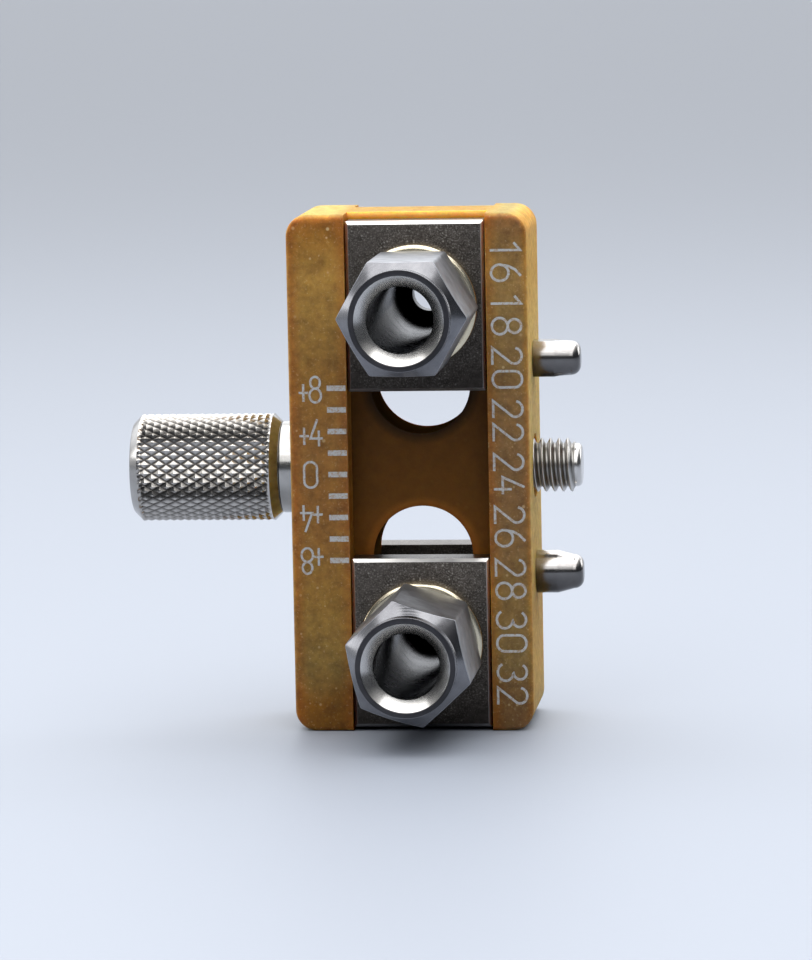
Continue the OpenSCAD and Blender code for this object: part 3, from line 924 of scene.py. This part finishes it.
def plate_mesh(name, size, bevel, hole):
    """A plate on the plane z = 0 with a bevelled face and a round hole. Finish 1 is the bevel."""
    width, thickness, height = size
    rounding, least, eased_by = 0.12 * MM, 0.02 * MM, 0.05 * MM

    def outline(inset):
        radius = max(rounding - inset / 3, least)
        points = rounded_outline(width - 2 * inset, height - 2 * inset, radius, 3)
        dense = []
        for i, (x, z) in enumerate(points):
            following = points[(i + 1) % len(points)]
            parts = 12 if math.dist((x, z), following) > MM else 1
            for k in range(parts):
                t = k / parts
                dense.append((x + (following[0] - x) * t, z + (following[1] - z) * t))
        return dense

    base = outline(0)
    turns = [math.atan2(y, x) for x, y in base]

    def circle(radius):
        return [(radius * math.cos(a), radius * math.sin(a)) for a in turns]

    rows = [
        (circle(hole), thickness - eased_by, 1),
        (circle(hole), eased_by, 0),
        (circle(hole + eased_by), 0, 0),
        (outline(eased_by), 0, 0),
        (base, eased_by, 0),
        (base, thickness - bevel, 1),
        (outline(bevel), thickness, 0),
        (circle(hole + eased_by), thickness, 1),
    ]
    bm = bmesh.new()
    lofted(bm, [[(x, y, z) for x, y in points] for points, z, _ in rows], closed=True)
    bm.faces.ensure_lookup_table()
    for j, (_, _, finish) in enumerate(rows):
        for face in bm.faces[j * len(turns) : (j + 1) * len(turns)]:
            face.material_index = finish
    return finished(bm, name)


class JIG_OT_slides(bpy.types.Operator):
    """Make the four bevelled slides of the two carriages"""

    bl_idname = "jig.slides"
    bl_label = "Slides"

    def execute(self, context):
        sizes = context.scene.jig_guides
        for side in SIDES:
            for depth, outward in (("front", -1), ("rear", 1)):
                node = f"{side}_{depth}_slide"
                low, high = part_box(node)
                mesh = plate_mesh(node, high - low, sizes.bevel, sizes.hole)
                origin = centre_of(node)
                origin.y = high.y if outward < 0 else low.y
                place = axes((-outward, 0, 0), (0, 0, 1), (0, outward, 0), origin)
                piece(
                    f"{side}_{depth}_plate", f"{side}_carriage",
                    ("bead_blasted", "milled"), mesh, place, [node],
                )
        return {"FINISHED"}


def washer_mesh(name, inner, outer, thickness, ease):
    """A flat ring on the plane z = 0 with rounded edges."""
    profile = [(inner, 0, 0), (outer, 0, 0), (outer, thickness, 0), (inner, thickness, 0)]
    return turned(name, eased(profile, ease, 4, True), True)


class JIG_OT_washers(bpy.types.Operator):
    """Make the thrust washers and the washer under the knob"""

    bl_idname = "jig.washers"
    bl_label = "Washers"

    def execute(self, context):
        sizes = context.scene.jig_guides
        for side in SIDES:
            node = side + "_thrust_washer"
            low, high = span(node, 1)
            # a hundredth of a millimetre under the barrel, so that the faces never cut each other
            thickness = high - low - 0.01 * MM
            mesh = washer_mesh(node, sizes.nose, sizes.washer, thickness, 0.45 * MM)
            piece(
                side + "_washer_ring", side + "_washer", ("tumbled",), mesh,
                guide_place(side), [node],
            )
        low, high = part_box("knob_washer")
        radius, thickness = (high.z - low.z) / 2, high.x - low.x
        mesh = washer_mesh("knob_washer", 2.6 * MM, radius, thickness, 0.16 * MM)
        piece(
            "knob_washer_ring", "screw_washer", ("polished",), mesh,
            screw_place(high.x), ["knob_washer"],
        )
        return {"FINISHED"}


class JIG_OT_rings(bpy.types.Operator):
    """Finish the retaining rings and the pin that keeps the screw in"""

    bl_idname = "jig.rings"
    bl_label = "Rings and keeper"

    def execute(self, context):
        for node, finish in (
            ("upper_retaining_ring", "spring"),
            ("lower_retaining_ring", "spring"),
            ("screw_retaining_pin", "polished"),
        ):
            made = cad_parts[node]
            made.data.materials.clear()
            made.data.materials.append(MATERIALS[finish])
            eased_edges(made, 0.08 * MM)
        return {"FINISHED"}


# ---- guide barrels


def barrel_mesh(name, sizes, tip, tail, turn):
    """Hexagonal barrel round local Z, from its tip down to its tail behind the body."""
    turned_face, drawn, sunk, reamed, faced = range(5)
    corner = sizes.flat / math.cos(math.radians(30))
    # the hexagon stands on its washer, and its cone ends at the nose, 1.1 mm from the tip
    base, top = 1 * MM, tip - 1.1 * MM - (corner - sizes.nose)
    # the retaining ring's groove near the tail, and the round base under the hexagon
    ring_low, ring_top, groove = 0.6 * MM - tail, 1.4 * MM - tail, sizes.shank - 0.4 * MM
    base_radius, slope = corner - 0.8 * MM, 0.575
    # the six corners are broken
    cut = corner - 0.05 * MM
    cut_angle = math.degrees(math.acos(sizes.flat / cut))
    steps = [-cut_angle, *range(-27, 28, 3), cut_angle]
    # the guide bore ends in a 118 degree drill point, which falls 0.6 for each 1 inwards
    bore_end = sizes.stop - tail
    point_end = bore_end - (sizes.bore - sizes.drill) * 0.6
    burr = 0.3 * MM

    def profile(angle):
        """Profile at an angle from the middle of the nearest flat."""
        reach = min(sizes.flat / math.cos(angle), cut)
        relief = base + (reach - base_radius) * slope
        outer = [
            (sizes.shank, -tail, turned_face),
            (sizes.shank, ring_low, turned_face),
            (groove, ring_low, turned_face),
            (groove, ring_top, turned_face),
            (sizes.shank, ring_top, turned_face),
            (sizes.shank, base, turned_face),
            (base_radius, base, turned_face),
            (reach, max(relief, base + 1e-6), drawn),
            (reach, top + corner - reach, turned_face),
            (sizes.nose, top + corner - sizes.nose, turned_face),
            (sizes.nose, tip, faced),
            (sizes.mouth, tip, sunk),
            (sizes.bore, tip - (sizes.mouth - sizes.bore), reamed),
            (sizes.bore, bore_end, reamed),
            (sizes.drill, point_end, reamed),
            (sizes.drill, burr - tail, sunk),
            (sizes.drill + burr, -tail, turned_face),
        ]
        return eased(outer, 0.07 * MM, 3, True)

    columns = []
    for side in range(6):
        for step in steps:
            angle = math.radians(60 * side + 30 + step)
            columns.append((angle + turn, profile(math.radians(step))))
    return swept(name, columns, True)


class JIG_OT_barrels(bpy.types.Operator):
    """Make the two hollow hexagonal guide barrels"""

    bl_idname = "jig.barrels"
    bl_label = "Guide barrels"

    def execute(self, context):
        sizes = context.scene.jig_guides
        front = span("jig_body", 1)[0]
        for side, turn in (("upper", 0), ("lower", -17.5)):
            node = side + "_guide_barrel"
            low, high = span(node, 1)
            mesh = barrel_mesh(node, sizes, front - low, high - front, math.radians(turn))
            piece(
                side + "_barrel_bolt", side + "_barrel",
                ("turned", "drawn", "countersunk", "reamed", "faced"), mesh,
                guide_place(side), [node], 28,
            )
        return {"FINISHED"}


# ---- thumb screw


def triangle(value):
    """0 at whole numbers, 1 halfway between them."""
    return 1 - abs(2 * (value % 1) - 1)


def knob_mesh(sizes, radius, top):
    """Knob along local Z. Pressed rolls leave rows of pyramids between crossing grooves."""
    per_period = 8
    columns = sizes.starts * per_period
    slope, plain = sizes.chamfer, 0.06 * MM
    knurled = top - 2 * slope
    rows = round(knurled / (1.37 * MM)) * per_period
    # its socket for the screw, and the dimple in its far end
    socket, depth, dimple, step = 2.5 * MM, 9 * MM, 2.2 * MM, 0.12 * MM
    near_end = [(0, depth), (socket, depth), (socket, 0), (radius - slope, 0)]
    near_end.append((radius - plain, slope - plain))
    far_end = [(0, top - step), (dimple, top - step), (2.4 * MM, top), (radius - slope, top)]
    far_end.append((radius - plain, top - slope + plain))
    first, last = (
        [p[:2] for p in eased([(r, z, 1) for r, z in end], 0.12 * MM)]
        for end in (near_end, far_end)
    )

    def point(i, j):
        """Radius and height of a knurling point."""
        a, b = i / per_period, j / per_period
        # the pyramids' points are worn blunt
        height = min(triangle(a + b), triangle(a - b), 0.92) / 0.92
        fade = min(1, j / 2, (rows - j) / 2)
        return radius - sizes.knurl_depth * (1 - height) * fade, slope + knurled * j / rows

    def spots(i):
        return first + [point(i, j) for j in range(rows + 1)] + last[::-1]

    bm = bmesh.new()
    grid = [column(bm, math.tau * i / columns, spots(i)) for i in range(columns)]
    for i in range(columns):
        here, there = grid[i], grid[(i + 1) % columns]
        for j in range(len(here) - 1):
            corners = (here[j], there[j], there[j + 1], here[j + 1])
            k = j - len(first)
            if 0 <= k < rows:
                a, b = (i + 0.5) / per_period, (k + 0.5) / per_period
                # each face folds along its groove or crest
                start, end = (0, 2) if triangle(a + b) > triangle(a - b) else (1, 3)
                bm.faces.new([corners[n] for n in range(start, end + 1)])
                bm.faces.new([corners[n] for n in (end, (end + 1) % 4, start)])
            else:
                bm.faces.new(corners).material_index = 1
    return finished(bm, "thumb_knob_grip")


class JIG_OT_knob(bpy.types.Operator):
    """Make the diamond-knurled thumb knob"""

    bl_idname = "jig.knob"
    bl_label = "Thumb knob"

    def execute(self, context):
        low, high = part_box("thumb_knob")
        mesh = knob_mesh(context.scene.jig_screw, (high.z - low.z) / 2, high.x - low.x)
        piece(
            "thumb_knob_grip", "screw", ("knurled", "polished"), mesh,
            screw_place(high.x), ["thumb_knob"], 20,
        )
        return {"FINISHED"}


def screw_mesh(sizes, tail, tip):
    """Screw along local Z: a plain shank, then rows that follow the thread's helix."""
    columns, per_pitch = 96, 24
    root = sizes.radius - 0.47 * MM
    start, end = -0.75 * MM, tip - 0.62 * MM
    rows = per_pitch * (math.ceil((end - start) / sizes.pitch) + 2)
    # the shank is relieved where the retaining pin crosses it
    full, relieved, low, high, neck = 2.5 * MM, 1.7 * MM, -20.3 * MM, -14.3 * MM, -1.2 * MM
    shank = [
        (0, tail), (2.1 * MM, tail), (full, tail + 0.4 * MM), (full, low), (relieved, low),
        (relieved, high), (full, high), (full, neck), (root, neck),
    ]
    shank = [p[:2] for p in eased([(r, z, 0) for r, z in shank], 0.06 * MM)]
    lead = 0.5 * MM
    point = [*arc(root - lead, tip - lead, lead, lead, 0, 90, 8), (0, tip)]

    def thread(i, j):
        """Radius and height of a thread point, on the helix that row j follows."""
        z = start + sizes.pitch * (j / per_pitch + i / columns - 1)
        z = min(max(z, start), end)
        phase = (j % per_pitch) / per_pitch
        # the crest is flat for 0.14 of the pitch and the root for 0.2; the ends run out
        crest = 1 - min(1, max(0, (abs(2 * phase - 1) - 0.14) / 0.66))
        rise = min(1, (z - start) / (0.3 * MM), (end - z) / (0.26 * MM))
        return root + (sizes.radius - root) * crest * max(0, rise), z

    def spots(i):
        return shank + [thread(i, j) for j in range(rows + 1)] + point

    bm = bmesh.new()
    grid = [column(bm, math.tau * i / columns, spots(i)) for i in range(columns)]
    first, last = len(shank), len(shank) + rows
    for i in range(columns):
        here, there = grid[i], grid[(i + 1) % columns]
        # the helix meets itself one pitch further on
        shift = per_pitch if i == columns - 1 else 0
        for j in range(len(here) - 1):
            low, high = j, j + 1
            if first <= j < last:
                low, high = min(j + shift, last), min(j + 1 + shift, last)
            corners = [here[j], there[low], there[high], here[j + 1]]
            if low == high:
                del corners[2]
            bm.faces.new(corners).material_index = 1 if j >= last else 0
        if shift:
            # close the rows that lie on the first ring
            for j in range(first, first + shift):
                bm.faces.new([here[first], there[j + 1], there[j]])
    return finished(bm, "thumb_screw_thread", 1e-6)


class JIG_OT_screw(bpy.types.Operator):
    """Make the thumb screw with its helical thread"""

    bl_idname = "jig.screw"
    bl_label = "Thumb screw"

    def execute(self, context):
        mesh = screw_mesh(context.scene.jig_screw, *span("thumb_screw", 0))
        piece(
            "thumb_screw_thread", "screw", ("rolled", "countersunk"), mesh,
            face_place(0), ["thumb_screw"], 32,
        )
        return {"FINISHED"}


def pin_mesh(name, tail, tip, flat):
    """Stepped pin along local Z with a tapered lead, a round tip and, if given, two flats."""
    shank, radius, lead, tip_round = 1.5 * MM, 2 * MM, 2 * MM, 0.9 * MM
    profile = [(0, tail), (1.2 * MM, tail), (shank, tail + 0.3 * MM), (shank, 0)]
    profile += [(radius, 0), (radius, lead)]
    centre = 1.6 * MM - tip_round
    profile += [*arc(centre, tip - tip_round, tip_round, tip_round, 0, 90, 10), (0, tip)]
    mesh = turned(name, eased([(r, z, 0) for r, z in profile], 0.05 * MM), segments=240)
    if flat:
        for v in mesh.vertices:
            if v.co.z >= -1e-9:
                v.co.y = min(max(v.co.y, -flat), flat)
        mesh.update()
    return mesh


class JIG_OT_pins(bpy.types.Operator):
    """Make the two locating pins beside the stud"""

    bl_idname = "jig.pins"
    bl_label = "Locating pins"

    def execute(self, context):
        for side, flat in (("upper", 1.65 * MM), ("lower", None)):
            node = side + "_locating_pin"
            mesh = pin_mesh(node, *span(node, 0), flat)
            piece(
                side + "_pin", "body", ("ground",), mesh,
                face_place(centre_of(node).z), [node],
            )
        return {"FINISHED"}


# ---- the studio


def lay_floor(sizes):
    """A wide round floor of pale matt laminate under the jig."""
    bm = bmesh.new()
    radii = [0.02 * k for k in range(1, 11)] + [0.3, 0.5, 0.9, 1.6, 3.0]
    rings = [arc(0, 0, r, r, 0, 360, 64)[:-1] for r in radii]
    lofted(bm, [[(x, y, 0) for x, y in ring] for ring in rings], caps=(0,))
    mesh = finished(bm, "floor")
    made = new_object("floor", mesh)
    made.location = (MIDDLE.x, 0, CAD_BOX[0].z)
    # Laminate, embossed: a pale satin grain that keeps the jig's shadow soft.
    material, tree = new_material("embossed_laminate")
    relief = {"Strength": 0.2, "Distance": 0.05 * MM, "Height": grain(tree, 0.9, 4.0)}
    shaded(tree, {
        "Base Color": rgba(sizes.floor), "Roughness": 0.55,
        "Normal": add(tree, "Bump", relief).outputs["Normal"],
    })
    mesh.materials.append(material)


def light_world(scene, sizes):
    """Soft light from all round: a bright wall behind and a bright ceiling, dimmer in front."""
    world = bpy.data.worlds.new("studio")
    world.use_nodes = True
    tree = world.node_tree
    tree.nodes.clear()
    place = add(tree, "TexCoord").outputs["Generated"]
    way = add(tree, "SeparateXYZ", {0: place}).outputs
    # the wall reaches further round on the left than on the right
    turned_left = maths(tree, "MULTIPLY_ADD", way["X"], -0.4, way["Y"])
    behind = between(tree, turned_left, 0.1, 0.7)
    wall = mixed(tree, behind, tuple(sizes.room), tuple(sizes.backdrop))
    sky = mixed(tree, between(tree, way["Z"], 0.45, 0.9), wall, "#FFFFFF")
    # the ceiling behind is brighter: the tops of the round pieces mirror it
    rear = times(tree, between(tree, way["Y"], 0.2, 0.5), between(tree, way["Z"], 0.15, 0.3))
    sockets = {"Color": sky, "Strength": between(tree, rear, 0, 1, 0.85, 2.2)}
    light = add(tree, "Background", sockets)
    add(tree, "OutputWorld", {"Surface": light.outputs[0]})
    scene.world = world


def hang_lamps(key):
    """A large soft lamp overhead, a lower one in front, and small ones behind and to the left."""
    # each lamp's name, place and size in metres, and power in watts
    for name, spot, wide, deep, power in (
        ("key", (-0.04, -0.1, 0.42), 0.7, 0.9, key),
        ("front", (-0.04, -0.66, 0.38), 0.8, 0.3, key * 0.34),
        ("rim", (0.34, 0.24, 0.12), 0.16, 0.16, key * 0.06),
        ("left", (-0.8, 0.1, 0.2), 0.3, 0.2, key * 0.12),
    ):
        lamp = bpy.data.lights.new(name, "AREA")
        lamp.shape = "RECTANGLE"
        lamp.size, lamp.size_y = wide, deep
        lamp.energy = power
        made = new_object(name, lamp)
        made.location = spot
        if name != "key":
            made.rotation_euler = (MIDDLE - Vector(spot)).to_track_quat("-Z", "Y").to_euler()


def set_camera(scene):
    """The photograph's view, from a fit of measured edges and circles."""
    azimuth, elevation, roll = (math.radians(a) for a in (6.015, 6.957, -1.108))
    target, distance = Vector((-11.46, -6.5, -0.549)) * MM, 484.72 * MM
    turn = Matrix.Identity(4)
    for angle, axis in ((azimuth, "Z"), (math.pi / 2 - elevation, "X"), (roll, "Z")):
        turn @= Matrix.Rotation(angle, 4, axis)
    place = Matrix.Translation(target) @ turn @ Matrix.Translation((0, 0, distance))
    lens = bpy.data.cameras.new("camera")
    lens.sensor_width = 36
    lens.lens = 197.3
    lens.clip_start, lens.clip_end = 0.01, 10
    scene.camera = new_object("camera", lens, place)


class JIG_OT_stage(bpy.types.Operator):
    """Make the floor, the light and the camera"""

    bl_idname = "jig.stage"
    bl_label = "Studio"

    def execute(self, context):
        sizes = context.scene.jig_stage
        scene = context.scene
        lay_floor(sizes)
        light_world(scene, sizes)
        hang_lamps(sizes.key)
        set_camera(scene)
        scene.view_settings.view_transform = "Standard"
        return {"FINISHED"}


# ---- add-on


OPERATORS = (
    JIG_OT_body, JIG_OT_scale, JIG_OT_slides, JIG_OT_washers, JIG_OT_barrels, JIG_OT_rings,
    JIG_OT_knob, JIG_OT_screw, JIG_OT_pins, JIG_OT_stage,
)
GROUPS = {
    "jig_body": JIG_PG_body,
    "jig_marks": JIG_PG_marks,
    "jig_guides": JIG_PG_guides,
    "jig_screw": JIG_PG_screw,
    "jig_stage": JIG_PG_stage,
}


class JIG_PT_panel(bpy.types.Panel):
    """Lists the jig's sizes and the operators that make its pieces"""

    bl_idname = "JIG_PT_panel"
    bl_label = "Aiming Jig"
    bl_space_type = "VIEW_3D"
    bl_region_type = "UI"
    bl_category = "Aiming Jig"

    def draw(self, context):
        for name, group in GROUPS.items():
            box = self.layout.box()
            box.label(text=group.__doc__)
            for key in group.__annotations__:
                box.prop(getattr(context.scene, name), key)
        for operator in OPERATORS:
            self.layout.operator(operator.bl_idname)


def register():
    for group in (*GROUPS.values(), *OPERATORS, JIG_PT_panel):
        bpy.utils.register_class(group)
    for name, group in GROUPS.items():
        setattr(bpy.types.Scene, name, bpy.props.PointerProperty(type=group))


def unregister():
    for name in GROUPS:
        delattr(bpy.types.Scene, name)
    for group in (JIG_PT_panel, *reversed(OPERATORS), *GROUPS.values()):
        bpy.utils.unregister_class(group)


def main():
    """Registers the add-on and makes every piece."""
    register()
    for operator in OPERATORS:
        family, name = operator.bl_idname.split(".")
        getattr(getattr(bpy.ops, family), name)()


MATERIALS = make_materials()

if __name__ == "__main__":
    main()
